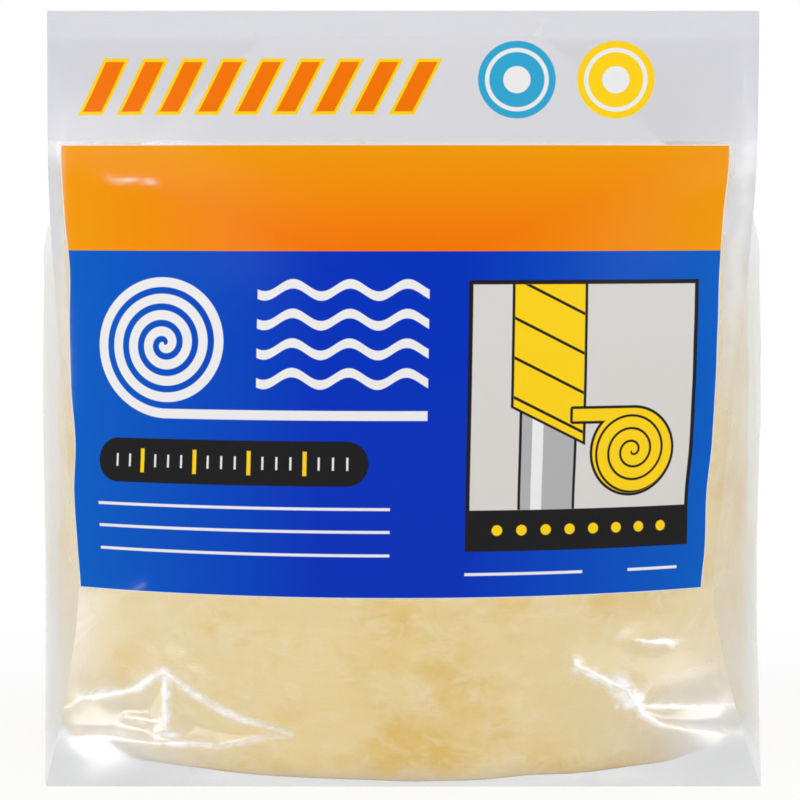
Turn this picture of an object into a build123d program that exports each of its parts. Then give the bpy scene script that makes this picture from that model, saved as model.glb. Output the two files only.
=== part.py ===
from build123d import *
from math import pi, sqrt
import os

# Pipe-wrap insulation in its shop bag: a strip of glass wool wound into a roll that stands on its edge,
# inside a clear film bag with creased panels, a squared foot and tucked-in side gussets, drawn together
# over the roll and sealed flat along the top.
# Millimetres. The origin is on the floor under the roll's axis, +Z is up, the bag's front faces -Y.

# Glass-wool strip, pressed thinner where it is wound, and the rounded ends of its turns
strip_width = 152.4
strip_length = 7620.0
wound_thickness = 4.5
bore_diameter = 20.0
turns_per_ridge = 2
ridge_height = 2.0
outer_turn_drop = 5.0

# Bag film, and the room that it leaves round the roll
film = 0.4
seat_gap = 0.2
side_room = 2.0
top_room = 2.0

# Four upright creases: out at the squared foot's corners, in at the waist and out again at the shoulder
waist_height = 50.0
foot_x_share = 0.925
foot_y_share = 0.995
foot_side_share = 0.99
waist_x_share = 0.85
waist_y_share = 0.75
shoulder_x_share = 0.915
shoulder_y_share = 0.83

# Top of the bag, drawn to the front and sealed, with the side gussets tucked in under the seal
seal_width = 203.2
header_height = 62.0
header_setback = 18.0
gusset_tuck = 62.0
gusset_outer_share = 0.99
gusset_inner_share = 1.02
facets_per_panel = 8
seal_height = 8.0
seal_thickness = 1.6
seal_overlap = 3.0

# Roll, as the strip's length winds it
bore_radius = bore_diameter / 2
roll_radius = sqrt(bore_radius**2 + strip_length * wound_thickness / pi)
ridge_count = round((roll_radius - bore_radius) / (wound_thickness * turns_per_ridge))
ridge_pitch = (roll_radius - bore_radius) / ridge_count
roll_bottom = film + seat_gap
roll_top = roll_bottom + strip_width

# Bag, round the roll
bag_reach = roll_radius + side_room + film
shoulder_z = roll_top + top_room + film
seal_z = shoulder_z + header_height - seal_height
seal_y = header_setback - bag_reach
seal_end = (seal_width / 2, seal_y, seal_z)
tuck_end = (seal_width / 2 - gusset_tuck, seal_y, seal_z)
inner_seal_z = seal_z - 2 * film
inner_tuck_end = (seal_width / 2 - gusset_tuck - film, seal_y, inner_seal_z)
crease_top = {
    side: (bag_reach * shoulder_x_share, side * bag_reach * shoulder_y_share, shoulder_z)
    for side in (-1, 1)
}

# Shares of the bag's reach at which the creases and the side's middle lie, at three heights
foot_shares = (foot_x_share, foot_y_share, foot_side_share)
waist_shares = (waist_x_share, waist_y_share, 1)
shoulder_shares = (shoulder_x_share, shoulder_y_share, 1)


def film_panels(shares, wall):
    """Gives the right half of the film's outline, as half a front, a side and half a back."""
    reach = bag_reach - wall
    x = bag_reach * shares[0] - wall
    y = bag_reach * shares[1] - wall
    side_x = bag_reach * shares[2] - wall
    front = TangentArc((0, -reach), (x, -y), tangent=(1, 0), mode=Mode.PRIVATE)
    side = ThreePointArc((x, -y), (side_x, 0), (x, y), mode=Mode.PRIVATE)
    back = TangentArc((0, reach), (x, y), tangent=(1, 0), mode=Mode.PRIVATE)
    return front, side, back


def film_ring(z, shares, wall):
    """Gives the corners of the film's half outline at one height, each panel folded into flat facets."""
    front, side, back = film_panels(shares, wall)
    steps = [facet / facets_per_panel for facet in range(facets_per_panel)]
    corners = [front @ step for step in steps]
    corners += [side @ step for step in steps]
    corners += [back @ (1 - step) for step in steps]
    corners.append(back @ 0)
    return [(corner.X, corner.Y, z) for corner in corners]


def seal_ring(z, width, thickness):
    """Gives as many corners on the right half of the flat seal, where the side's all run together."""
    steps = [facet / facets_per_panel for facet in range(facets_per_panel)]
    front_y = seal_y - thickness / 2
    back_y = seal_y + thickness / 2
    corners = [(width * step, front_y, z) for step in steps]
    corners += [(width, front_y, z) for step in steps]
    corners += [(width * (1 - step), back_y, z) for step in steps]
    corners.append((0, back_y, z))
    return corners


def flat_face(corners):
    """Gives the flat face between corners, of which repeats are left out."""
    return Face(Wire.make_polygon(list(dict.fromkeys(corners))))


def facetted(rings):
    """Gives the solid between rings of corners, with flat triangles from each ring to the next."""
    faces = [flat_face(rings[0]), flat_face(rings[-1])]
    faces.append(flat_face([ring[0] for ring in rings] + [ring[-1] for ring in reversed(rings)]))
    for low, high in zip(rings, rings[1:]):
        for near, far in zip(range(len(low)), range(1, len(low))):
            for corners in ((low[near], low[far], high[far]), (low[near], high[far], high[near])):
                if len(set(corners)) == len(corners):
                    faces.append(flat_face(corners))
    return Solid(Shell(faces))


def film_round(z, top, wall):
    """Gives the right half of the space that the film takes up round the roll."""
    foot = film_ring(z, foot_shares, wall)
    waist = film_ring(waist_height, waist_shares, wall)
    return facetted([foot, waist, film_ring(top, shoulder_shares, wall)])


def gusset_space(share):
    """Gives the pyramid beside the tucked-in gusset, open to the outside, at a share of its full size."""
    corners = [Vector(*crease_top[side]) for side in (-1, 1)]
    corners += [Vector(*seal_end), Vector(*tuck_end)]
    middle = sum(corners, Vector(0, 0, 0)) / len(corners)
    tip = middle + (corners[-1] - middle) * share
    base = [tip + (middle + (corner - middle) * share - tip) * 2 for corner in corners[:-1]]
    return loft([Face(Wire.make_polygon(base)), Vertex(*tip)], ruled=True, mode=Mode.PRIVATE)


def film_over(z, wall, seal, share, tip):
    """Gives the right half of the film over the roll, up to the seal, with its side tucked in."""
    shoulder = film_ring(z, shoulder_shares, wall)
    with BuildPart(mode=Mode.PRIVATE) as space:
        add(gusset_space(share))
        loft([flat_face(shoulder), Vertex(*tip)], ruled=True, mode=Mode.SUBTRACT)
    with BuildPart(mode=Mode.PRIVATE) as over:
        add(facetted([shoulder, seal]))
        add(space.part, mode=Mode.SUBTRACT)
    return over.part


# Roll: one turned solid whose ends rise and fall with the turns of the strip
with BuildPart() as insulation_roll:
    with BuildSketch(Plane.XZ):
        with BuildLine():
            end_shape = [(bore_radius, ridge_height)]
            for ridge in range(ridge_count):
                inner_radius = bore_radius + ridge * ridge_pitch
                end_shape.append((inner_radius + ridge_pitch / 2, 0))
                end_shape.append((inner_radius + ridge_pitch, ridge_height))
            end_shape[-1] = (roll_radius, outer_turn_drop)
            bottom_line = [(radius, roll_bottom + drop) for radius, drop in end_shape]
            top_line = [(radius, roll_top - drop) for radius, drop in reversed(end_shape)]
            Polyline(*bottom_line, *top_line, close=True)
        make_face()
    revolve(axis=Axis.Z)
insulation_roll.part.label = "insulation_roll"

# Bag: its right half, hollowed, and then mirrored
with BuildPart() as bag:
    # Film round the roll, from the squared foot to the waist and on to the shoulder
    add(film_round(0, shoulder_z, 0))
    # Film over the roll: front and back drawn to the seal, and the side tucked in between them
    outer_seal = seal_ring(seal_z, seal_width / 2 - film, 2 * film)
    add(film_over(shoulder_z, 0, outer_seal, gusset_outer_share, tuck_end))
    # The same shapes inside, less the film's thickness
    inner_shoulder_z = shoulder_z - film
    add(film_round(film, inner_shoulder_z, film), mode=Mode.SUBTRACT)
    inner_seal = seal_ring(inner_seal_z, seal_width / 2 - seal_overlap, film)
    inside = film_over(inner_shoulder_z, film, inner_seal, gusset_inner_share, inner_tuck_end)
    add(inside, mode=Mode.SUBTRACT)
    # Flat seal along the top
    with BuildSketch(Plane.XY.offset(seal_z - seal_overlap)):
        with Locations((seal_width / 4, seal_y)):
            Rectangle(seal_width / 2, seal_thickness)
    extrude(amount=seal_overlap + seal_height)
    mirror(about=Plane.YZ)
bag.part.label = "bag"

os.makedirs("parts", exist_ok=True)
export_step(insulation_roll.part, "parts/insulation_roll.step")
export_step(bag.part, "parts/bag.step")
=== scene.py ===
import math

import bpy
import numpy as np
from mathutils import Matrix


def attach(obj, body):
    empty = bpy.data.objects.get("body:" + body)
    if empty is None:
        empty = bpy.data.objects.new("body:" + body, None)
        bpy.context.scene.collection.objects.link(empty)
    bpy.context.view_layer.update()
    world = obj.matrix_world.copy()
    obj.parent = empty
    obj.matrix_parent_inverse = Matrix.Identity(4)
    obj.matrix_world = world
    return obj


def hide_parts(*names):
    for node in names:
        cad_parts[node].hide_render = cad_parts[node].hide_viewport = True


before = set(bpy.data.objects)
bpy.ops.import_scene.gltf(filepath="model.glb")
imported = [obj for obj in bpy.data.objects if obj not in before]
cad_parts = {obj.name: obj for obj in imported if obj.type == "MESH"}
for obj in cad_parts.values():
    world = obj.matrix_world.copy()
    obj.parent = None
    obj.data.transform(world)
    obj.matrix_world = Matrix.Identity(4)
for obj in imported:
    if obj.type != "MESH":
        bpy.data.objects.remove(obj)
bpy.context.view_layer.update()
mm = 0.001

# Camera: it looks at the bag's printed front from about a metre away, a little above the roll's top,
# and tips down slightly. The picture is square, so the lens is for its width.
camera_place = (-0.0009, -1.0, 0.164)
camera_dip = math.radians(3.55)
camera_lens = 144.6
camera_data = bpy.data.cameras.new("camera")
camera_data.lens = camera_lens
camera_data.sensor_width = 36
camera = bpy.data.objects.new("camera", camera_data)
camera.location = camera_place
camera.rotation_euler = (math.pi / 2 - camera_dip, 0, 0)
bpy.context.collection.objects.link(camera)
bpy.context.scene.camera = camera

# Glass-wool roll: one strip of pale yellow glass wool, cut to its width and wound tight round a small
# open middle, then stood on its edge. Only the bag holds it, so the tail lies loose on the last turn.
strip_turns = 21
bore_radius = 10 * mm
tail_radius = 107.6 * mm
strip_thickness = (tail_radius - bore_radius) / (strip_turns + 1)
strip_fill = 0.97
roll_foot = 0.8 * mm
roll_top = 153 * mm
edge_round = 2.2 * mm
rim_round = 9 * mm
tail_angle = math.radians(65)
inner_step = 4 * mm
outer_step = 1.7 * mm
inner_rows = 2
outer_rows = 84
foot_waver = 0.5 * mm
rim_waver = 0.9 * mm
rim_ripple = 0.5 * mm
soft_depth = 0.7 * mm
soft_length = 26 * mm
soft_height = 14 * mm
fine_depth = 0.25 * mm
fine_length = 7 * mm
fine_height = 5 * mm
soft_inset = 0.6 * mm
rim_begin = 1.2
rim_full = 0.9
climb_end = 0.75
lattice_size = 64
wool_pale = (0.82, 0.65, 0.322, 1)
wool_golden = (0.745, 0.50, 0.118, 1)
wool_white = (0.86, 0.78, 0.58, 1)
blotch_stretch = (1, 1, 1.5)
blotch_scale = 32
blotch_range = (0.47, 0.70)
blotch_strength = 0.9
clump_scale = 110
clump_range = (0.5, 0.75)
clump_strength = 0.5
fibre_stretch = (1, 1, 3)
fibre_scale = 520
fibre_range = (0.55, 0.85)
fibre_strength = 0.3
wool_relief = 1.2 * mm


def smooth(low, high, value):
    """Rises from 0 at low to 1 at high, level at both ends: three squares less two cubes."""
    share = np.clip((value - low) / (high - low), 0, 1)
    return share * share * (3 - 2 * share)


def lumps(across, along, seed):
    """Soft bumps from -1 to 1: random heights on a unit lattice, blended with level slopes."""
    lattice = np.random.default_rng(seed).uniform(-1, 1, (lattice_size, lattice_size))
    column = np.floor(across).astype(int)
    row = np.floor(along).astype(int)
    right = smooth(0, 1, across - column)
    upper = smooth(0, 1, along - row)
    column = column % lattice_size
    row = row % lattice_size
    next_column = (column + 1) % lattice_size
    next_row = (row + 1) % lattice_size
    low = lattice[column, row] * (1 - right) + lattice[next_column, row] * right
    high = lattice[column, next_row] * (1 - right) + lattice[next_column, next_row] * right
    return low * (1 - upper) + high * upper


def wound_strip(first_turn, last_turn, step, wall_rows):
    """Wool strip in a flat spiral, as a closed profile carried round it.

    The strip's middle lies at the bore's radius plus half a thickness plus one thickness for each turn. The
    bag squeezes the last turn round: its outer wall climbs from under the tail and then keeps its radius.
    The profile goes up the outer wall, over the rounded upper edge, down the inner wall and back under
    the rounded lower edge. Lumps move the outer wall in and out, and each edge up and down.
    """
    middle = bore_radius + strip_thickness * ((first_turn + last_turn) / 2 + 0.5)
    rows = int(2 * math.pi * middle * (last_turn - first_turn) / step)
    turn = np.linspace(first_turn, last_turn, rows)[:, None]
    angle = tail_angle + 2 * math.pi * (turn - strip_turns)
    radius = bore_radius + strip_thickness * (turn + 0.5)
    outermost = smooth(strip_turns - rim_begin, strip_turns - rim_full, turn)
    bend = np.linspace(math.pi / 2, -math.pi / 2, 9)[1:-1]
    wall = np.linspace(0, 1, wall_rows)
    wall_side = np.ones(wall_rows)
    side = np.concatenate([wall_side, np.sin(bend), [-1, -1], np.sin(bend[::-1])])
    level = np.concatenate([wall, np.ones(len(bend)), [1, 0], np.zeros(len(bend))])
    rise = np.concatenate([0 * wall, np.cos(bend), [0, 0], -np.cos(bend[::-1])])
    edge = np.where(side > 0, edge_round + (rim_round - edge_round) * outermost, edge_round)
    low = roll_foot + edge + foot_waver * (1 + lumps(turn * 40, turn * 3, 3))
    high = roll_top - edge - rim_waver * (1 + lumps(turn * 24, turn * 5, 4))
    high = high - rim_ripple * lumps(turn * 90, turn, 5)
    z = low + (high - low) * level + edge * rise
    around = angle * radius
    natural_gap = strip_thickness * (strip_turns - turn)
    squeezed_gap = strip_thickness * (1 - smooth(strip_turns - 1, strip_turns - climb_end, turn))
    squeeze = np.where(turn > strip_turns - 1, natural_gap - squeezed_gap, 0) * (side + 1) / 2
    soft = soft_depth * lumps(around / soft_length, z / soft_height, 6)
    soft = soft + fine_depth * lumps(around / fine_length, z / fine_height, 7)
    half_strip = strip_fill * strip_thickness / 2 * side
    reach = radius + squeeze + half_strip + outermost * (side > 0) * (soft - soft_inset)
    return np.stack([reach * np.cos(angle), reach * np.sin(angle), z], axis=-1)


def grid_faces(rows, columns, closed, first=0):
    """Four-cornered faces between neighbours of a grid, in rows.

    A closed grid joins its last column to its first.
    """
    row = np.arange(rows - 1)[:, None] * columns
    column = np.arange(columns if closed else columns - 1)[None, :]
    after = (column + 1) % columns
    corners = [row + column, row + after, row + columns + after, row + columns + column]
    shape = (rows - 1, column.size)
    return np.stack([np.broadcast_to(corner, shape) for corner in corners], -1).reshape(-1, 4) + first


def add_piece(name, points, faces, material):
    """Makes one smooth-shaded object, at the origin, from whole arrays of points and lists of faces."""
    mesh = bpy.data.meshes.new(name)
    mesh.from_pydata(points.reshape(-1, 3).tolist(), [], faces)
    mesh.polygons.foreach_set("use_smooth", np.ones(len(mesh.polygons), bool))
    mesh.materials.append(material)
    piece = bpy.data.objects.new(name, mesh)
    bpy.context.collection.objects.link(piece)
    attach(piece, "root")
    return piece


class Signal:
    """A value in a material: wraps an output socket, and its operators add Math nodes."""

    def __init__(self, socket):
        self.socket = socket

    @staticmethod
    def node(tree, kind, settings=None, inputs=None):
        """Adds one node: first its settings, or a ramp's stops, then the value or link of each socket."""
        made = tree.nodes.new(kind)
        for name, value in (settings or {}).items():
            if name == "stops":
                for stop, (place, colour) in zip(made.color_ramp.elements, value):
                    stop.position = place
                    stop.color = colour
            else:
                setattr(made, name, value)
        for name, value in (inputs or {}).items():
            if isinstance(value, Signal):
                tree.links.new(value.socket, made.inputs[name])
            else:
                made.inputs[name].default_value = value
        return made

    def math(self, operation, *others, clamp=False):
        """Adds a Math node with this value first."""
        inputs = {place: value for place, value in enumerate((self,) + others)}
        settings = {"operation": operation, "use_clamp": clamp}
        return Signal(Signal.node(self.socket.id_data, "ShaderNodeMath", settings, inputs).outputs[0])

    def flipped(self, operation, other):
        """Adds a Math node with a plain number first and this value second."""
        inputs = {0: other, 1: self}
        settings = {"operation": operation}
        return Signal(Signal.node(self.socket.id_data, "ShaderNodeMath", settings, inputs).outputs[0])

    def __add__(self, other):
        return self.math("ADD", other)

    __radd__ = __add__

    def __sub__(self, other):
        return self.math("SUBTRACT", other)

    def __rsub__(self, other):
        return self.flipped("SUBTRACT", other)

    def __mul__(self, other):
        return self.math("MULTIPLY", other)

    __rmul__ = __mul__

    def __truediv__(self, other):
        return self.math("DIVIDE", other)

    def __rtruediv__(self, other):
        return self.flipped("DIVIDE", other)

    def __pow__(self, other):
        return self.math("POWER", other)

    def __neg__(self):
        return self.math("MULTIPLY", -1)


def new_material(name):
    """An empty node material, its tree and its output node."""
    material = bpy.data.materials.new(name)
    material.use_nodes = True
    tree = material.node_tree
    tree.nodes.clear()
    return material, tree, Signal.node(tree, "ShaderNodeOutputMaterial")


def noise(tree, place, scale, detail=2, roughness=0.5, distortion=0):
    """Noise on a place signal, from 0 to 1."""
    inputs = {"Vector": place, "Scale": scale, "Detail": detail}
    inputs |= {"Roughness": roughness, "Distortion": distortion}
    return Signal(Signal.node(tree, "ShaderNodeTexNoise", inputs=inputs).outputs["Fac"])


def stretch(tree, place, scale):
    """The place signal with each axis scaled."""
    inputs = {"Vector": place, "Scale": scale}
    return Signal(Signal.node(tree, "ShaderNodeMapping", inputs=inputs).outputs[0])


def paint(tree, under, over, cover):
    """Colour over another, where the cover signal is 1."""
    made = Signal.node(tree, "ShaderNodeMix", {"data_type": "RGBA"}, {0: cover, 6: under, 7: over})
    return Signal(made.outputs[2])


def ramped(value, low, high):
    """0 below low, 1 above high and a straight rise between them."""
    return value.math("MULTIPLY_ADD", 1 / (high - low), -low / (high - low), clamp=True)


wool, tree, output = new_material("glass_wool")
place = Signal(Signal.node(tree, "ShaderNodeTexCoord").outputs["Object"])
flat_place = stretch(tree, place, blotch_stretch)
fibre_place = stretch(tree, place, fibre_stretch)
blotches = noise(tree, flat_place, blotch_scale, 4, 0.6)
clumps = noise(tree, flat_place, clump_scale, 5, 0.65, 0.8)
fibres = noise(tree, fibre_place, fibre_scale, 6, 0.75, 1.5)
colour = paint(tree, wool_pale, wool_golden, ramped(blotches, *blotch_range) * blotch_strength)
colour = paint(tree, colour, wool_white, ramped(clumps, *clump_range) * clump_strength)
colour = paint(tree, colour, wool_golden, ramped(fibres, *fibre_range) * fibre_strength)
height = clumps * 0.7 + fibres * 0.3
inputs = {"Height": height, "Strength": 0.6, "Distance": wool_relief}
bump = Signal.node(tree, "ShaderNodeBump", inputs=inputs)
inputs = {"Base Color": colour, "Roughness": 1.0, "Specular IOR Level": 0.1}
inputs["Normal"] = Signal(bump.outputs[0])
body = Signal.node(tree, "ShaderNodeBsdfPrincipled", inputs=inputs)
tree.links.new(body.outputs[0], output.inputs["Surface"])

inner_turns = wound_strip(0, strip_turns - 1, inner_step, inner_rows)
outer_turn = wound_strip(strip_turns - 1, strip_turns, outer_step, outer_rows)
points = np.concatenate([inner_turns.reshape(-1, 3), outer_turn.reshape(-1, 3)])
faces = []
first = 0
for strip in (inner_turns, outer_turn):
    rows, columns = strip.shape[:2]
    faces += grid_faces(rows, columns, True, first).tolist()
    faces.append([first + column for column in range(columns)])
    faces.append([first + (rows - 1) * columns + column for column in reversed(range(columns))])
    first += rows * columns
wool_roll = add_piece("wool_roll", points, faces, wool)
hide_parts("insulation_roll")

# Film bag: clear polyethylene tube with side gussets, squared off at the foot and drawn to the front over
# the roll, where the gussets tuck in and all the layers are welded flat. These are its sides, back and foot.
low_rows = np.arange(0, 64, 0.7)
middle_rows = np.arange(64, 150, 1.4)
neck_rows = np.arange(150, 209.4, 0.9)
weld_rows = np.linspace(209.4, 217.4, 9)
film_rows = np.concatenate([low_rows, middle_rows, neck_rows, weld_rows]) * mm
back_columns = 141
side_columns = 81
weld_foot = 209.4 * mm
weld_top = 217.4 * mm
crease_heights = [0, 25, 50, 80, 115, 150, 180, 209.4, 217.4]
crease_x = [100.2, 94.6, 91.3, 93, 95.8, 98.8, 100.1, 100.4, 100.4]
front_sags = [0.6, 17, 27.5, 26, 23, 18.7, 9, 0.4, 0.4]
front_shifts = [0, -1.2, -2, -1.8, -1.2, -0.6, -0.2, 0, 0]
front_heights = [0, 20, 150, 165, 209.4, 217.4]
front_reach = [107.4, 108.4, 108.2, 105.2, 89.7, 89.7]
back_heights = [0, 20, 140, 150, 156, 163, 172, 182, 195, 209.4, 217.4]
back_reach = [107.4, 108.2, 108.2, 107, 101, 77, 43, 6, -41, -89.1, -89.1]
back_sag_heights = [0, 25, 50, 80, 115, 145, 158, 170, 185, 209.4, 217.4]
back_sags = [0.6, 17, 27.5, 26, 23, 19, 8, -6, -9, -0.4, -0.4]
side_heights = [0, 8, 25, 50, 140, 152, 158, 165, 180, 195, 209.4]
side_reach = [106.3, 107.6, 108.2, 108.2, 108.2, 107.6, 105.2, 98.5, 79.5, 59.5, 40]
power_heights = [0, 25, 50, 80, 150, 209.4]
side_powers = [2.6, 2.9, 3.4, 3.1, 2.3, 2.3]
film_colour = (0.60, 0.61, 0.63, 1)
# Colour of the glints: painted highlight, with crease whitening, on the film's folds.
painted_glint_colour = (0.95, 0.95, 0.95, 1)
side_haze = 0.24
neck_haze = 0.3
low_haze = 0.15
neck_haze_rise = (125 * mm, 160 * mm)
low_haze_fall = (30 * mm, 70 * mm)
back_haze = 0.12
foot_haze = 0.15
gusset_rise = (150 * mm, 190 * mm)
side_span = 80
side_folds = [(11, 16, 4, 60, 70, 0.4), (12, 12, 90, 160, 70, 0.4)]
back_folds = [(13, 30, 4, 80, 90, 2.4), (14, 30, 110, 205, 90, 2.8)]
fold_start = (0, 6 * mm)
fold_end = (195 * mm, 208 * mm)
fold_bend_across = 1.3 * mm
fold_bend_up = 1.1 * mm
fold_spread = 1.6
glint_height = 2.4 * mm
glint_patch = 8 * mm
spot_bend = 1.2
spot_bend_length = 4 * mm
ripple_scale = 60
ripple_relief = 1.5 * mm
streak_stretch = (1, 1, 1.6)
streak_scale = 170
grazing_haze = 0.55
fullest_cover = 0.95
ink_dulling = 0.98


def through(knots, values, place):
    """Smooth line through the knots: cubic pieces whose slopes are those between each knot's neighbours."""
    knots = np.array(knots) * mm
    values = np.array(values) * mm
    slopes = np.gradient(values, knots)
    piece = np.clip(np.searchsorted(knots, place, side="right") - 1, 0, len(knots) - 2)
    span = knots[piece + 1] - knots[piece]
    share = (place - knots[piece]) / span
    rest = 1 - share
    start = (1 + 2 * share) * rest**2 * values[piece] + share * rest**2 * span * slopes[piece]
    end = share**2 * (3 - 2 * share) * values[piece + 1] + share**2 * (share - 1) * span * slopes[piece + 1]
    return start + end


def arc_panel(half_width, sag, share):
    """Arc across a panel: distance across, drop behind the middle, and length along the arc.

    The arc's radius is the half width squared plus the sag squared, over twice the sag.
    """
    radius = (half_width**2 + sag**2) / (2 * sag)
    half_angle = np.arcsin(half_width / radius)
    angle = share * half_angle
    length = radius * share * half_angle
    return radius * np.sin(angle), radius * (1 - np.cos(angle)), length


def front_points(share, z):
    """Front film: an arc from crease to crease at each height, flatter towards the weld and the foot."""
    half_width = through(crease_heights, crease_x, z)
    across, drop, length = arc_panel(half_width, through(crease_heights, front_sags, z), share)
    x = across + through(crease_heights, front_shifts, z)
    return np.stack([x, drop - through(front_heights, front_reach, z), z + 0 * across], -1), length


def back_points(share, z):
    """Back film: the same at the back, then a roof that slopes forward over the roll to the weld."""
    sag = through(back_sag_heights, back_sags, z)
    safe_sag = np.where(np.abs(sag) < 0.05 * mm, 0.05 * mm, sag)
    across, drop, length = arc_panel(through(crease_heights, crease_x, z), np.abs(safe_sag), share)
    y = through(back_heights, back_reach, z) - np.sign(safe_sag) * drop
    return np.stack([-across, y, z + 0 * across], -1), length


def side_points(share, z, side):
    """Side film from front crease to back crease: a bow outwards, which turns into a tucked-in V above.

    It is the straight line between the creases plus the middle's offset times one less a power of the
    share, or times one less the bare share where the gusset is folded sharp.
    """
    back_x = through(crease_heights, crease_x, z)
    front_x = back_x + side * through(crease_heights, front_shifts, z)
    front_y = through(crease_heights, front_sags, z) - through(front_heights, front_reach, z)
    back_y = through(back_heights, back_reach, z) - through(back_sag_heights, back_sags, z)
    sharp = smooth(*gusset_rise, z)
    power = through(power_heights, side_powers, z) / mm
    bow = (1 - sharp) * (1 - np.abs(share) ** power) + sharp * (1 - np.abs(share))
    behind = (share + 1) / 2
    offset = through(side_heights, side_reach, z) - (front_x + back_x) / 2
    x = front_x + (back_x - front_x) * behind + offset * bow
    y = front_y + (back_y - front_y) * behind
    return np.stack([side * x, y, z + 0 * x], -1)


def folds(across, z, lines):
    """Height and glint of folds in film, from 0 to 1 for the glint.

    Each line runs from (across, up, height) to (across, up, height) and has a width, in millimetres. The
    film falls away on both sides of it over the width, and along the crest is a glint, painted highlight
    and crease whitening in one, wider on a tall fold. Lumps bend the lines and break up the glint.
    """
    bent_across = across + fold_bend_across * lumps(across / (15 * mm), z / (13 * mm), 21)
    bent_z = z + fold_bend_up * lumps(across / (14 * mm), z / (15 * mm), 22)
    height = np.zeros(np.broadcast(across, z).shape)
    glint = np.zeros(height.shape)
    for start_a, start_z, start_h, end_a, end_z, end_h, width in np.array(lines) * mm:
        run = (bent_across - start_a) * (end_a - start_a) + (bent_z - start_z) * (end_z - start_z)
        share = np.clip(run / ((end_a - start_a) ** 2 + (end_z - start_z) ** 2), 0, 1)
        gone_a = bent_across - start_a - share * (end_a - start_a)
        gone_z = bent_z - start_z - share * (end_z - start_z)
        gone = np.hypot(gone_a, gone_z)
        tall = start_h + (end_h - start_h) * share
        height = np.maximum(height, tall * np.clip(1 - gone / (fold_spread * width), 0, 1) ** 2)
        wide = gone / (0.5 * mm + 0.24 * tall)
        sheen = 0.8 * np.exp(-(wide**2)) + 0.2 * np.exp(-((wide / 3) ** 2))
        glint = np.maximum(glint, np.clip(tall / glint_height, 0, 1) * sheen)
    return height, glint * (0.85 + 0.15 * lumps(across / glint_patch, z / glint_patch, 23))


def patches(across, z, spots):
    """Soft oval spots, of which the strongest counts.

    Each is (across, up, half width, half height, strength), in millimetres. Lumps bend their edges.
    """
    cover = np.zeros(np.broadcast(across, z).shape)
    bent_across = across / mm + spot_bend * lumps(across / spot_bend_length, z / spot_bend_length, 24)
    bent_z = z / mm + spot_bend * lumps(across / spot_bend_length, z / spot_bend_length, 25)
    for middle_a, middle_z, half_a, half_z, strength in spots:
        gone = ((bent_across - middle_a) / half_a) ** 2 + ((bent_z - middle_z) / half_z) ** 2
        cover = np.maximum(cover, strength * np.exp(-gone))
    return cover


def pushed_out(points, height):
    """Moves each point of a grid along the grid's own normal."""
    normal = np.cross(np.gradient(points, axis=1), np.gradient(points, axis=0))
    normal /= np.maximum(np.linalg.norm(normal, axis=-1, keepdims=True), 1e-12)
    return points + normal * height[..., None]


def scattered_folds(seed, count, low, high, half_width, tallest):
    """Random fold lines in millimetres between two heights: mostly steep, some short and slanting."""
    chance = np.random.default_rng(seed)
    start_a = chance.uniform(-half_width, half_width, count)
    start_z = chance.uniform(low, high, count)
    lean = chance.normal(0, 0.6, count)
    length = chance.uniform(12, 45, count)
    tall = tallest * chance.uniform(0.25, 1, count)
    end_a = start_a + length * np.sin(lean)
    end_z = start_z + length * np.cos(lean)
    end_tall = tall * chance.uniform(0, 0.5, count)
    width = chance.uniform(3.5, 8, count)
    return np.stack([start_a, start_z, tall, end_a, end_z, end_tall, width], -1)


def film_material(name, add_print):
    """Clear film: see-through and glossy, milky where it is doubled and at grazing angles, and painted white
    along its glints, which are painted highlights as well as crease whitening.
    """
    material, tree, output = new_material(name)
    place = Signal(Signal.node(tree, "ShaderNodeTexCoord").outputs["Object"])
    facing = Signal(Signal.node(tree, "ShaderNodeLayerWeight", inputs={"Blend": 0.5}).outputs["Facing"])
    glint = Signal(Signal.node(tree, "ShaderNodeAttribute", {"attribute_name": "glint"}).outputs["Fac"])
    haze = Signal(Signal.node(tree, "ShaderNodeAttribute", {"attribute_name": "haze"}).outputs["Fac"])
    ripples = noise(tree, place, ripple_scale, 2)
    streaks = noise(tree, stretch(tree, place, streak_stretch), streak_scale, 2, 0.5, 0.6)
    # Glints: painted highlights in white, which also stand for crease whitening, broken up by streaks.
    glint = (glint * (0.8 + 0.5 * ramped(streaks, 0.35, 0.65))).math("MINIMUM", 1)
    cover = haze * (0.8 + 0.4 * ripples) + grazing_haze * facing**2
    cover = cover.math("MAXIMUM", glint * fullest_cover).math("MINIMUM", fullest_cover)
    colour = film_colour
    gloss = 1.0
    if add_print:
        ink, colour = add_print(tree, colour)
        cover = cover + ink * (1 - cover)
        gloss = 1 - ink_dulling * ink
    # Painted highlight: the glints are painted white over the film and over the ink.
    colour = paint(tree, colour, painted_glint_colour, glint)
    inputs = {"Height": ripples, "Strength": 0.25, "Distance": ripple_relief}
    bump = Signal.node(tree, "ShaderNodeBump", inputs=inputs)
    inputs = {"Base Color": colour, "Roughness": 0.3, "IOR": 1.5, "Specular IOR Level": 0.04}
    inputs |= {"Coat Weight": gloss, "Coat IOR": 2.4, "Coat Roughness": 0.2}
    inputs["Normal"] = Signal(bump.outputs[0])
    body = Signal.node(tree, "ShaderNodeBsdfPrincipled", inputs=inputs)
    clear = Signal.node(tree, "ShaderNodeBsdfTransparent")
    inputs = {0: cover, 1: Signal(clear.outputs[0]), 2: Signal(body.outputs[0])}
    mixed = Signal.node(tree, "ShaderNodeMixShader", inputs=inputs)
    tree.links.new(mixed.outputs[0], output.inputs["Surface"])
    return material


def keep_values(piece, name, values):
    """Stores a value for each point of a piece, for its material to read."""
    layer = piece.data.attributes.new(name, "FLOAT", "POINT")
    layer.data.foreach_set("value", np.ascontiguousarray(values, dtype=np.float32).ravel())


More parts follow.
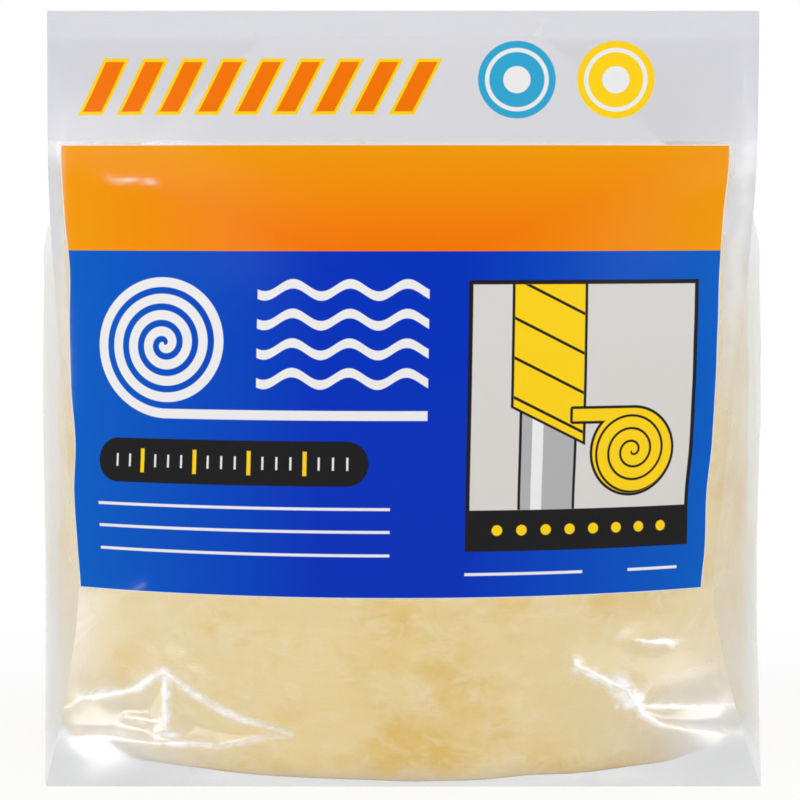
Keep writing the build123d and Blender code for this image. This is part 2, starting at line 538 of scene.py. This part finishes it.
def foot_film(front, right, back, left):
    """Film under the roll, between the four foot edges: two ruled sheets added, less the corners' sheet."""
    along = np.linspace(0, 1, len(right))[:, None, None]
    across = np.linspace(0, 1, len(front))[None, :, None]
    ruled = (1 - along) * front[None] + along * back[None, ::-1]
    crossed = (1 - across) * left[::-1][:, None] + across * right[:, None]
    corners = (1 - along) * ((1 - across) * front[0] + across * front[-1])
    corners = corners + along * ((1 - across) * back[-1] + across * back[0])
    return ruled + crossed - corners


side_share = np.linspace(-1, 1, side_columns)[None, :]
back_share = np.linspace(-1, 1, back_columns)[None, :]
side_z = film_rows[film_rows < weld_foot + 0.01 * mm][:, None]
z = film_rows[:, None]
side_lines = np.concatenate([scattered_folds(*group) for group in side_folds])
back_lines = np.concatenate([scattered_folds(*group) for group in back_folds])
side_fade = (1 - side_share**8) * smooth(*fold_start, side_z) * (1 - smooth(*fold_end, side_z))
side_height, side_glint = folds(side_share * side_span * mm, side_z, side_lines)
right = pushed_out(side_points(side_share, side_z, 1), side_height * side_fade)
left = pushed_out(side_points(-side_share, side_z, -1), side_height * side_fade)
plain_back, back_length = back_points(back_share, z)
back_fade = (1 - back_share**8) * smooth(*fold_start, z) * (1 - smooth(*fold_end, z))
back_height, back_glint = folds(back_length, z, back_lines)
back = pushed_out(plain_back, back_height * back_fade)
foot = foot_film(front_points(back_share, z[:1])[0][0], right[0], back[0], left[0])[::-1]
film_grids = [right, back, left, foot]
neck_hazes = neck_haze * smooth(*neck_haze_rise, side_z)
low_hazes = low_haze * (1 - smooth(*low_haze_fall, side_z))
side_hazes = side_haze + neck_hazes + low_hazes + 0 * side_share
grid_hazes = [side_hazes, np.full(back.shape[:2], back_haze), side_hazes, np.full(foot.shape[:2], foot_haze)]
grid_glints = [side_glint, back_glint, side_glint, np.zeros(foot.shape[:2])]
faces = []
first = 0
for film_grid in film_grids:
    faces += grid_faces(film_grid.shape[0], film_grid.shape[1], False, first).tolist()
    first += film_grid.shape[0] * film_grid.shape[1]
points = np.concatenate([film_grid.reshape(-1, 3) for film_grid in film_grids])
film_bag = add_piece("film_bag", points, faces, film_material("clear_film", None))
keep_values(film_bag, "glint", np.concatenate([glint.ravel() for glint in grid_glints]))
keep_values(film_bag, "haze", np.concatenate([haze.ravel() for haze in grid_hazes]))
film_bag.visible_shadow = False
film_bag.visible_diffuse = False
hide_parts("bag")

# Printed front: the bag's front film, printed with flat inks on a white ground and clear round the print.
# It goes up to the weld along the top and is creased where the squared foot folds out from the roll.
front_columns = 301
front_fold_start = (0, 5 * mm)
sheet_width = 214 * mm
sheet_height = weld_top
front_lines = [
    [-67, 31, 5, -76, 26, 4, 7],
    [-76, 26, 4, -92, 23.5, 3.2, 7],
    [-92, 23.5, 3.2, -100, 18, 1.2, 6],
    [-67, 31, 5, -59.5, 24.8, 4, 6],
    [-59.5, 24.8, 4, -45.5, 18.6, 3, 6],
    [-45.5, 18.6, 3, -31, 15, 1.5, 5],
    [-67, 30, 4.5, -66.5, 15, 3.5, 6],
    [-100, 13, 0.8, -82, 13.5, 1.6, 4],
    [-82, 13.5, 1.6, -70.7, 11.3, 2.6, 4],
    [-70.7, 11.3, 3.2, -52.5, 10.4, 2.4, 4],
    [-52.5, 10.4, 2.4, -31, 15, 1.5, 4],
    [-78, 19, 1.8, -68, 17, 2.4, 3],
    [-95, 43, 0.7, -74, 56, 0.4, 5],
    [-98, 36, 0.5, -82, 50, 0.4, 4],
    [65, 25, 4.5, 50, 33, 2, 6],
    [65, 24, 4.5, 68, 20, 3, 6],
    [68, 20.5, 3, 100, 21.5, 2.2, 6],
    [68, 19, 3, 74, 15.5, 2.4, 4],
    [74, 15.5, 2.4, 100, 13.5, 1.8, 5],
    [68, 40, 1, 76, 38.6, 2.2, 4],
    [76, 38.6, 2.2, 86, 38, 1, 4],
    [-80, 170.5, 0.2, -70, 169, 0.4, 3],
    [-97, 105, 0.3, -96, 185, 0.4, 4],
    [97, 105, 0.4, 96.5, 200, 0.5, 4],
]
# Painted highlights: soft white spots in the front film's glint, where its folds catch the lamps.
painted_glint_spots = [
    (-68, 15.5, 2.6, 4.5, 0.9),
    (-64.5, 14, 3.4, 2.2, 0.85),
    (-74, 17.6, 7, 1.4, 0.65),
    (-71, 13, 4, 1.5, 0.6),
    (-88, 24, 9, 2.2, 0.75),
    (-49, 20.3, 4, 1.8, 0.6),
    (-86, 13.2, 14, 1.9, 0.8),
    (63.5, 27, 4, 4.6, 1.0),
    (66.5, 23.5, 4.2, 4, 1.0),
    (61.5, 22, 1.6, 2.4, 0.6),
    (50.5, 33.5, 2.4, 2.8, 0.75),
    (55, 30.5, 2.6, 2.2, 0.5),
    (78, 38.6, 7, 1.2, 0.8),
    (66, 42, 4, 2, 0.35),
    (95, 23.5, 5, 2.6, 0.85),
    (97.6, 158, 2.6, 34, 0.35),
    (-71, 169, 2, 0.9, 0.6),
    (-78, 170.3, 4, 0.7, 0.5),
]
front_hazes = [
    (-86, 7, 30, 13, 0.7),
    (91, 12, 24, 18, 0.7),
    (-82, 19, 18, 9, 0.35),
    (-97, 45, 9, 40, 0.3),
    (0, 0, 140, 4.5, 0.34),
    (97, 160, 4, 50, 0.4),
    (-99, 150, 4, 60, 0.3),
]
front_relief = 0.6
front_haze = 0.05
edge_haze = 0.18
edge_waver = 0.8 * mm
waver_length = 16 * mm
print_shift = -1.9 * mm
print_half_width = 94.3
print_foot = 53.5
band_foot = 150
band_top = 179.5
ground_margin = 0.25
edge_blur = 0.25
band_blur = 0.1
# Painted light: the blue and orange inks turn lighter towards both sides of the label between these
# distances.
side_light_from = 20
side_light_to = 95
ink_orange = (0.86, 0.168, 0.0, 1)
painted_lit_orange = (0.85, 0.31, 0.0, 1)
ink_blue = (0.0, 0.03, 0.47, 1)
painted_lit_blue = (0.0, 0.105, 0.52, 1)
ink_white = (0.80, 0.80, 0.80, 1)
ink_black = (0.012, 0.011, 0.012, 1)
ink_yellow = (0.93, 0.62, 0.01, 1)
ink_grey = (0.42, 0.42, 0.43, 1)
ink_paper = (0.66, 0.64, 0.62, 1)
ink_sky = (0.03, 0.36, 0.60, 1)
coil_middle = (-65, 124)
coil_pitch = 4.6
coil_line = 1.35
coil_end = 3.75
tail_middle = (-27.75, 104.45)
tail_half = (37.75, 1.35)
wave_middle = (-14, 127)
wave_half = (24, 16.4)
wave_foot = 110.6
wave_step = 8.2
wave_rise = 1.7
wave_length = 16
wave_line = 1.3
scale_middle = (-46, 91)
scale_half = (40, 6.3)
scale_step = 4
scale_line = 0.28
long_step = 16
marks_half = (35, 1.8)
long_marks_half = (35, 3.4)
rules = [((-43, 78.4), 43), ((-43, 72), 43), ((-43, 65.4), 43), ((38, 60), 17), ((77, 60), 8)]
rule_half = 0.4
panel_middle = (54.5, 104.2)
panel_half = (33.5, 37.8)
window_middle = (54.5, 109.4)
window_half = (32.3, 31.4)
pipe_middle = (44, 109)
pipe_half = (7.5, 40)
wrap_half = (10, 40)
wrap_slope = 0.5
wrap_foot = 102
wrap_step = 11
wrap_line = 0.45
panel_line = 0.8
shine_shift = -3
shine_half = 1.6
disc_middle = (69, 94)
disc_radius = 12
disc_pitch = 3.6
disc_line = 0.35
spare_middle = (60, 104.3)
spare_half = (9, 1.7)
dot_step = 7
dot_row = 72.3
dot_radius = 1.5
dots_half = (28, 4)
head_tinge = 0.86
beside_tinge = 0.75
tinge_foot = 95
head_colour = (0.64, 0.645, 0.69, 1)
stripe_middle = (-38.5, 196)
stripe_half = (49.5, 8)
stripe_step = 11
stripe_lean = 0.5
stripe_line = 3.6
core_line = 2.6
badges = [((34, 198), 11, ink_sky), ((62, 198), 11, ink_yellow)]
badge_inset = 2.6
badge_line = 0.6
badge_eye = 0.35


def covered(distance):
    """1 inside a shape and 0 outside it, from the distance to its edge in millimetres."""
    return (-distance).math("MULTIPLY_ADD", 1 / edge_blur, 0.5, clamp=True)


def block(across, up, middle, half, corner=0.0):
    """Distance to a rectangle with rounded corners, exact outside it."""
    side = (across - middle[0]).math("ABSOLUTE") - (half[0] - corner)
    top = (up - middle[1]).math("ABSOLUTE") - (half[1] - corner)
    out_side = side.math("MAXIMUM", 0)
    out_top = top.math("MAXIMUM", 0)
    outside = (out_side * out_side + out_top * out_top).math("SQRT")
    return outside + side.math("MAXIMUM", top).math("MINIMUM", 0) - corner


def ring_distance(across, up, middle):
    """Distance from a point."""
    side = across - middle[0]
    top = up - middle[1]
    return (side * side + top * top).math("SQRT")


def front_print(tree, bare):
    """Ink cover and colour on the front film, from its own map of millimetres across and up.

    From below: a blue block with white, black and yellow signs, a plain orange band, and on the milky
    head a row of slanting stripes and two ringed discs. The blue and the orange carry painted light:
    lighter towards both sides, and the orange also towards the band's top.
    """
    sheet = Signal.node(tree, "ShaderNodeUVMap", {"uv_map": "OFBake"})
    parts = Signal.node(tree, "ShaderNodeSeparateXYZ", inputs={0: Signal(sheet.outputs[0])})
    across = (Signal(parts.outputs[0]) - 0.5) * (sheet_width / mm)
    up = Signal(parts.outputs[1]) * (sheet_height / mm)
    middle_up = (print_foot + band_top) / 2
    half_up = (band_top - print_foot) / 2
    ground_half = (print_half_width + ground_margin, half_up + ground_margin)
    ink = covered(block(across, up, (0, middle_up), ground_half))
    label = covered(block(across, up, (0, middle_up), (print_half_width, half_up)))
    colour = paint(tree, bare, ink_white, ink)
    # Painted side light: blue and orange lighter towards both sides, the orange also towards the band's top.
    painted_side_light = ramped(across.math("ABSOLUTE"), side_light_from, side_light_to)
    blue = paint(tree, ink_blue, painted_lit_blue, painted_side_light)
    orange = paint(tree, ink_orange, painted_lit_orange, painted_side_light.math("MAXIMUM", ramped(up, band_foot, band_top)))
    band = ramped(up, band_foot - band_blur, band_foot + band_blur)
    colour = paint(tree, colour, paint(tree, blue, orange, band), label)

    wound = ring_distance(across, up, coil_middle)
    round_share = (up - coil_middle[1]).math("ARCTAN2", across - coil_middle[0]) / (2 * math.pi)
    turn = wound / coil_pitch - round_share
    line = ((turn.math("FRACT") - 0.5).math("ABSOLUTE") * coil_pitch) - coil_line
    coil = covered(line) * (turn.math("FLOOR") + round_share).math("LESS_THAN", coil_end)
    coil = coil.math("MAXIMUM", covered(block(across, up, tail_middle, tail_half)))
    colour = paint(tree, colour, ink_white, coil)
    wave = wave_rise * (across * (2 * math.pi / wave_length)).math("SINE")
    level = (up - wave_foot - wave) / wave_step
    row = (level.math("FRACT") - 0.5).math("ABSOLUTE") * wave_step - wave_line
    waves = covered(row.math("MAXIMUM", block(across, up, wave_middle, wave_half)))
    colour = paint(tree, colour, ink_white, waves)

    scale_bar = block(across, up, scale_middle, scale_half, scale_half[1])
    colour = paint(tree, colour, ink_black, covered(scale_bar))
    mark = (((across / scale_step + 0.5).math("FRACT") - 0.5).math("ABSOLUTE") * scale_step) - scale_line
    marks = covered(mark.math("MAXIMUM", block(across, up, scale_middle, marks_half)))
    colour = paint(tree, colour, ink_white, marks)
    long_mark = ((across / long_step).math("FRACT") - 0.5).math("ABSOLUTE") * long_step - 2 * scale_line
    long_marks = covered(long_mark.math("MAXIMUM", block(across, up, scale_middle, long_marks_half)))
    colour = paint(tree, colour, ink_yellow, long_marks)
    for rule, half in rules:
        colour = paint(tree, colour, ink_white, covered(block(across, up, rule, (half, rule_half))))

    colour = paint(tree, colour, ink_black, covered(block(across, up, panel_middle, panel_half)))
    window = block(across, up, window_middle, window_half)
    colour = paint(tree, colour, ink_paper, covered(window))
    pipe = block(across, up, pipe_middle, pipe_half)
    colour = paint(tree, colour, ink_black, covered((pipe - panel_line).math("MAXIMUM", window)))
    colour = paint(tree, colour, ink_grey, covered(pipe.math("MAXIMUM", window)))
    shine_middle = (pipe_middle[0] + shine_shift, pipe_middle[1])
    shine = block(across, up, shine_middle, (shine_half, pipe_half[1]))
    colour = paint(tree, colour, ink_white, covered(shine.math("MAXIMUM", window)))
    slant = up + wrap_slope * (across - pipe_middle[0])
    wrap = block(across, up, pipe_middle, wrap_half).math("MAXIMUM", wrap_foot - slant)
    wrap = wrap.math("MAXIMUM", window)
    colour = paint(tree, colour, ink_black, covered(wrap - panel_line))
    colour = paint(tree, colour, ink_yellow, covered(wrap))
    lap = ((slant / wrap_step).math("FRACT") - 0.5).math("ABSOLUTE") * wrap_step - wrap_line
    colour = paint(tree, colour, ink_black, covered(lap.math("MAXIMUM", wrap)))
    spare = block(across, up, spare_middle, spare_half)
    disc = ring_distance(across, up, disc_middle)
    spare = spare.math("MINIMUM", disc - disc_radius)
    colour = paint(tree, colour, ink_black, covered(spare - panel_line))
    colour = paint(tree, colour, ink_yellow, covered(spare))
    turn = disc / disc_pitch - (up - disc_middle[1]).math("ARCTAN2", across - disc_middle[0]) / (2 * math.pi)
    line = (turn.math("FRACT") - 0.5).math("ABSOLUTE") * disc_pitch - disc_line
    colour = paint(tree, colour, ink_black, covered(line.math("MAXIMUM", disc - disc_radius)))
    dot_across = (((across - panel_middle[0]) / dot_step).math("FRACT") - 0.5) * dot_step
    dot_up = up - dot_row
    dots = (dot_across * dot_across + dot_up * dot_up).math("SQRT") - dot_radius
    dots = dots.math("MAXIMUM", block(across, up, (panel_middle[0], dot_row), dots_half))
    colour = paint(tree, colour, ink_yellow, covered(dots))

    beside = ramped(across.math("ABSOLUTE"), print_half_width + 0.5, print_half_width + 2)
    beside = beside * ramped(up, tinge_foot, band_foot) * beside_tinge
    tinge = ramped(up, band_top, band_top + 1.5).math("MAXIMUM", beside)
    ink = ink.math("MAXIMUM", tinge * head_tinge)
    colour = paint(tree, colour, head_colour, tinge)
    lean = across - stripe_lean * (up - stripe_middle[1])
    stripe = ((lean / stripe_step).math("FRACT") - 0.5).math("ABSOLUTE") * stripe_step
    stripes = (stripe - stripe_line).math("MAXIMUM", block(lean, up, stripe_middle, stripe_half))
    core_half = (stripe_half[0], stripe_half[1] - 1)
    cores = (stripe - core_line).math("MAXIMUM", block(lean, up, stripe_middle, core_half))
    colour = paint(tree, colour, ink_yellow, covered(stripes))
    colour = paint(tree, colour, ink_orange, covered(cores))
    ink = ink.math("MAXIMUM", covered(stripes))
    for middle, outer, tone in badges:
        gone = ring_distance(across, up, middle)
        ink = ink.math("MAXIMUM", covered(gone - outer))
        colour = paint(tree, colour, tone, covered(gone - outer))
        ring = (gone - outer + badge_inset).math("ABSOLUTE") - badge_line
        colour = paint(tree, colour, ink_white, covered(ring))
        colour = paint(tree, colour, ink_white, covered(gone - outer * badge_eye))
    return ink, colour


front_share = np.linspace(-1, 1, front_columns)[None, :]
plain_front, front_length = front_points(front_share, z)
front_height, front_glint = folds(front_length, z, front_lines)
front_fade = (1 - front_share**12) * smooth(*front_fold_start, z) * (1 - smooth(*fold_end, z))
front = pushed_out(plain_front, front_relief * front_height * front_fade)
faces = grid_faces(front.shape[0], front.shape[1], False).tolist()
printed_front = add_piece("printed_front", front, faces, film_material("printed_film", front_print))
# Painted highlights: the folds' glints and the white spots go into the front film's glint.
keep_values(printed_front, "glint", np.maximum(front_glint, patches(front_length, z, painted_glint_spots)))
hazes = front_haze + edge_haze * front_share**2 + patches(front_length, z, front_hazes)
keep_values(printed_front, "haze", hazes)
waver = edge_waver * front_share**2 * lumps(3 * np.sign(front_share), z / waver_length, 31)
print_across = front_length - print_shift + waver
print_up = z + 0 * front_length
sheet_map = np.stack([print_across / sheet_width + 0.5, print_up / sheet_height], -1).reshape(-1, 2)
corner_point = np.empty(len(printed_front.data.loops), dtype=np.int32)
printed_front.data.loops.foreach_get("vertex_index", corner_point)
layer = printed_front.data.uv_layers.new(name="OFBake")
layer.data.foreach_set("uv", sheet_map[corner_point].astype(np.float32).ravel())
printed_front.visible_shadow = False
printed_front.visible_diffuse = False
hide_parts("bag")

# Studio: a pale floor that runs out into a white surround. Soft lamps stand in front on the left and on
# the right, at both sides, and above behind.
floor_size = 60.0
floor_colour = (0.86, 0.86, 0.87, 1)
lamps = [
    ("key", (-0.85, -1.35, 0.85), 0.8, 7.5),
    ("fill", (1.05, -1.2, 0.6), 0.8, 5.5),
    ("left_side", (-1.4, -0.35, 0.35), 1.2, 7),
    ("right_side", (1.4, -0.35, 0.35), 1.2, 4.8),
    ("rim", (0.1, 0.9, 1.3), 0.8, 5),
]
surround = 0.46
shaded_front = 0.85
shade_from = 0.6
shade_to = 0.94
near_glow = 0.88
glow_from = 0.12
glow_to = 0.3
lamp_aim = (0, 0, 0.1)
floor_points = np.array([[-1, -1, 0], [1, -1, 0], [1, 1, 0], [-1, 1, 0]]) * floor_size / 2
floor_mesh = bpy.data.meshes.new("floor")
floor_mesh.from_pydata(floor_points.tolist(), [], [[0, 1, 2, 3]])
floor_material, tree, output = new_material("floor")
sight = Signal.node(tree, "ShaderNodeLightPath")
seen = Signal(sight.outputs["Is Camera Ray"]).math("MAXIMUM", Signal(sight.outputs["Is Glossy Ray"]))
plain = Signal.node(tree, "ShaderNodeBsdfDiffuse", inputs={"Color": floor_colour})
glow = Signal.node(tree, "ShaderNodeEmission", inputs={"Color": (1, 1, 1, 1), "Strength": 1})
place = Signal(Signal.node(tree, "ShaderNodeTexCoord").outputs["Object"])
gone = Signal(Signal.node(tree, "ShaderNodeVectorMath", {"operation": "LENGTH"}, {0: place}).outputs["Value"])
white_out = near_glow + (1 - near_glow) * ramped(gone, glow_from, glow_to)
inputs = {0: seen * white_out, 1: Signal(plain.outputs[0]), 2: Signal(glow.outputs[0])}
mixed = Signal.node(tree, "ShaderNodeMixShader", inputs=inputs)
tree.links.new(mixed.outputs[0], output.inputs["Surface"])
floor_mesh.materials.append(floor_material)
floor = bpy.data.objects.new("floor", floor_mesh)
bpy.context.collection.objects.link(floor)

world = bpy.data.worlds.new("surround")
bpy.context.scene.world = world
world.use_nodes = True
tree = world.node_tree
tree.nodes.clear()
output = Signal.node(tree, "ShaderNodeOutputWorld")
sight = Signal.node(tree, "ShaderNodeLightPath")
way = Signal(Signal.node(tree, "ShaderNodeTexCoord").outputs["Generated"])
front_way = -Signal(Signal.node(tree, "ShaderNodeSeparateXYZ", inputs={0: way}).outputs[1])
shade = shaded_front * ramped(front_way, shade_from, shade_to)
mirrored = Signal(sight.outputs["Is Glossy Ray"]) * (1 - shade)
seen = Signal(sight.outputs["Is Camera Ray"]).math("MAXIMUM", mirrored)
strength = surround + (1 - surround) * seen
sky = Signal.node(tree, "ShaderNodeBackground", inputs={"Color": (1, 1, 1, 1), "Strength": strength})
tree.links.new(sky.outputs[0], output.inputs["Surface"])

for name, lamp_place, size, power in lamps:
    lamp_data = bpy.data.lights.new(name, "AREA")
    lamp_data.shape = "SQUARE"
    lamp_data.size = size
    lamp_data.energy = power
    lamp = bpy.data.objects.new(name, lamp_data)
    lamp.location = lamp_place
    aim = np.array(lamp_aim) - np.array(lamp_place)
    yaw = math.atan2(aim[1], aim[0]) - math.pi / 2
    tip = math.atan2(math.hypot(aim[0], aim[1]), -aim[2])
    lamp.rotation_euler = (tip, 0, yaw)
    bpy.context.collection.objects.link(lamp)

bpy.context.scene.view_settings.view_transform = "Standard"
